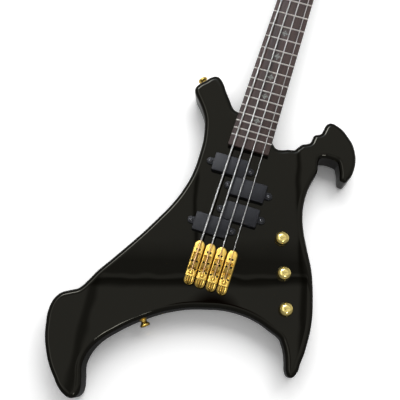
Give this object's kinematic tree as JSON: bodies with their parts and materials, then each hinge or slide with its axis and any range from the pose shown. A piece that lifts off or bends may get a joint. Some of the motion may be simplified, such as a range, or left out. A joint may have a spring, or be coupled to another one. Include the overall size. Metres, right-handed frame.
{
  "type": "electric bass guitar",
  "caption": "Gloss-black solid-body electric bass guitar with a winged outline, gold rail bridges, knobs and worm tuners, split pickups and a bolted fretted neck.",
  "frame": {"origin": "on the back of the body, below the point where the scale length ends at the bridge", "axes": "+Y along the neck towards the head, +Z out of the front face, +X towards the treble side"},
  "size_m": [0.3686, 1.2728, 0.0615],
  "materials": {
    "black_lacquer": "high-gloss black lacquer",
    "rosewood": "oiled rosewood with steel frets",
    "bone": "bone",
    "gold_plate": "polished gold plate",
    "string_steel": "round-wound steel",
    "pickup_plastic": "satin",
    "black_plastic": "satin",
    "plain_steel": "zinc plate"
  },
  "bodies": {
    "instrument": {"body": "black_lacquer", "neck": "black_lacquer", "fretboard": "rosewood", "nut": "bone", "truss_rod": "plain_steel", "volume_pot_case": "plain_steel", "blend_pot_case": "plain_steel", "tone_pot_case": "plain_steel", "truss_rod_cover": "black_plastic", "control_cover": "black_plastic", "string_e": "string_steel", "string_a": "string_steel", "string_d": "string_steel", "string_g": "string_steel", "pickup_front_bass": "pickup_plastic", "pickup_front_treble": "pickup_plastic", "pickup_rear_treble": "pickup_plastic", "pickup_rear_bass": "pickup_plastic", "bridge_rail_e": "gold_plate", "bridge_rail_a": "gold_plate", "bridge_rail_d": "gold_plate", "bridge_rail_g": "gold_plate", "tuner_housing_e": "gold_plate", "tuner_housing_a": "gold_plate", "tuner_housing_d": "gold_plate", "tuner_housing_g": "gold_plate", "tuner_bushing_e": "gold_plate", "tuner_bushing_a": "gold_plate", "tuner_bushing_d": "gold_plate", "tuner_bushing_g": "gold_plate", "output_jack": "gold_plate", "strap_button_upper": "gold_plate", "strap_button_lower": "gold_plate", "neck_plate": "gold_plate", "neck_screw_1": "gold_plate", "neck_screw_2": "gold_plate", "neck_screw_3": "gold_plate", "neck_screw_4": "gold_plate"},
    "volume_control": {"volume_knob": "gold_plate", "volume_pot_shaft": "plain_steel"},
    "blend_control": {"blend_knob": "gold_plate", "blend_pot_shaft": "plain_steel"},
    "tone_control": {"tone_knob": "gold_plate", "tone_pot_shaft": "plain_steel"},
    "key_e": {"tuner_key_e": "gold_plate"},
    "post_e": {"tuner_post_e": "gold_plate"},
    "screw_e": {"intonation_screw_e": "gold_plate"},
    "saddle_e": {"bridge_saddle_e": "gold_plate"},
    "key_a": {"tuner_key_a": "gold_plate"},
    "post_a": {"tuner_post_a": "gold_plate"},
    "screw_a": {"intonation_screw_a": "gold_plate"},
    "saddle_a": {"bridge_saddle_a": "gold_plate"},
    "key_d": {"tuner_key_d": "gold_plate"},
    "post_d": {"tuner_post_d": "gold_plate"},
    "screw_d": {"intonation_screw_d": "gold_plate"},
    "saddle_d": {"bridge_saddle_d": "gold_plate"},
    "key_g": {"tuner_key_g": "gold_plate"},
    "post_g": {"tuner_post_g": "gold_plate"},
    "screw_g": {"intonation_screw_g": "gold_plate"},
    "saddle_g": {"bridge_saddle_g": "gold_plate"}
  },
  "joints": [
    {"name": "volume_turn", "type": "hinge", "parent": "instrument", "child": "volume_control", "pos_m": [0.086, 0.0615, 0.052], "axis": [0, 0, 1], "range_deg": [-150, 150]},
    {"name": "blend_turn", "type": "hinge", "parent": "instrument", "child": "blend_control", "pos_m": [0.10275, 0.01325, 0.052], "axis": [0, 0, 1], "range_deg": [-150, 150]},
    {"name": "tone_turn", "type": "hinge", "parent": "instrument", "child": "tone_control", "pos_m": [0.1195, -0.035, 0.052], "axis": [0, 0, 1], "range_deg": [-150, 150]},
    {"name": "key_e_turn", "type": "hinge", "parent": "instrument", "child": "key_e", "pos_m": [-0.052, 0.9041, 0.025], "axis": [-1, 0, 0], "continuous": true},
    {"name": "post_e_turn", "type": "hinge", "parent": "instrument", "child": "post_e", "pos_m": [-0.022, 0.916, 0.029], "axis": [0, 0, 1], "continuous": true},
    {"name": "key_a_turn", "type": "hinge", "parent": "instrument", "child": "key_a", "pos_m": [-0.0465, 0.9681, 0.025], "axis": [-1, 0, 0], "continuous": true},
    {"name": "post_a_turn", "type": "hinge", "parent": "instrument", "child": "post_a", "pos_m": [-0.0165, 0.98, 0.029], "axis": [0, 0, 1], "continuous": true},
    {"name": "key_d_turn", "type": "hinge", "parent": "instrument", "child": "key_d", "pos_m": [0.0465, 0.9919, 0.025], "axis": [1, 0, 0], "continuous": true},
    {"name": "post_d_turn", "type": "hinge", "parent": "instrument", "child": "post_d", "pos_m": [0.0165, 0.98, 0.029], "axis": [0, 0, 1], "continuous": true},
    {"name": "key_g_turn", "type": "hinge", "parent": "instrument", "child": "key_g", "pos_m": [0.052, 0.9279, 0.025], "axis": [1, 0, 0], "continuous": true},
    {"name": "post_g_turn", "type": "hinge", "parent": "instrument", "child": "post_g", "pos_m": [0.022, 0.916, 0.029], "axis": [0, 0, 1], "continuous": true},
    {"name": "saddle_e_slide", "type": "slide", "parent": "instrument", "child": "saddle_e", "axis": [0, 1, 0], "range_m": [-0.002, 0.004]},
    {"name": "screw_e_turn", "type": "hinge", "parent": "instrument", "child": "screw_e", "pos_m": [-0.02475, -0.031, 0.0514], "axis": [0, 1, 0], "range_deg": [-1445, 725]},
    {"name": "saddle_a_slide", "type": "slide", "parent": "instrument", "child": "saddle_a", "axis": [0, 1, 0], "range_m": [-0.002, 0.004]},
    {"name": "screw_a_turn", "type": "hinge", "parent": "instrument", "child": "screw_a", "pos_m": [-0.00825, -0.031, 0.0514], "axis": [0, 1, 0], "range_deg": [-1445, 725]},
    {"name": "saddle_d_slide", "type": "slide", "parent": "instrument", "child": "saddle_d", "axis": [0, 1, 0], "range_m": [-0.002, 0.004]},
    {"name": "screw_d_turn", "type": "hinge", "parent": "instrument", "child": "screw_d", "pos_m": [0.00825, -0.031, 0.0514], "axis": [0, 1, 0], "range_deg": [-1445, 725]},
    {"name": "saddle_g_slide", "type": "slide", "parent": "instrument", "child": "saddle_g", "axis": [0, 1, 0], "range_m": [-0.002, 0.004]},
    {"name": "screw_g_turn", "type": "hinge", "parent": "instrument", "child": "screw_g", "pos_m": [0.02475, -0.031, 0.0514], "axis": [0, 1, 0], "range_deg": [-1445, 725]}
  ],
  "couplings": [
    {"joint": "post_e_turn", "follows": "key_e_turn", "ratio": 0.05},
    {"joint": "post_a_turn", "follows": "key_a_turn", "ratio": 0.05},
    {"joint": "post_d_turn", "follows": "key_d_turn", "ratio": 0.05},
    {"joint": "post_g_turn", "follows": "key_g_turn", "ratio": 0.05},
    {"joint": "screw_e_turn", "follows": "saddle_e_slide", "rad_per_m": -6283.2},
    {"joint": "screw_a_turn", "follows": "saddle_a_slide", "rad_per_m": -6283.2},
    {"joint": "screw_d_turn", "follows": "saddle_d_slide", "rad_per_m": -6283.2},
    {"joint": "screw_g_turn", "follows": "saddle_g_slide", "rad_per_m": -6283.2}
  ]
}
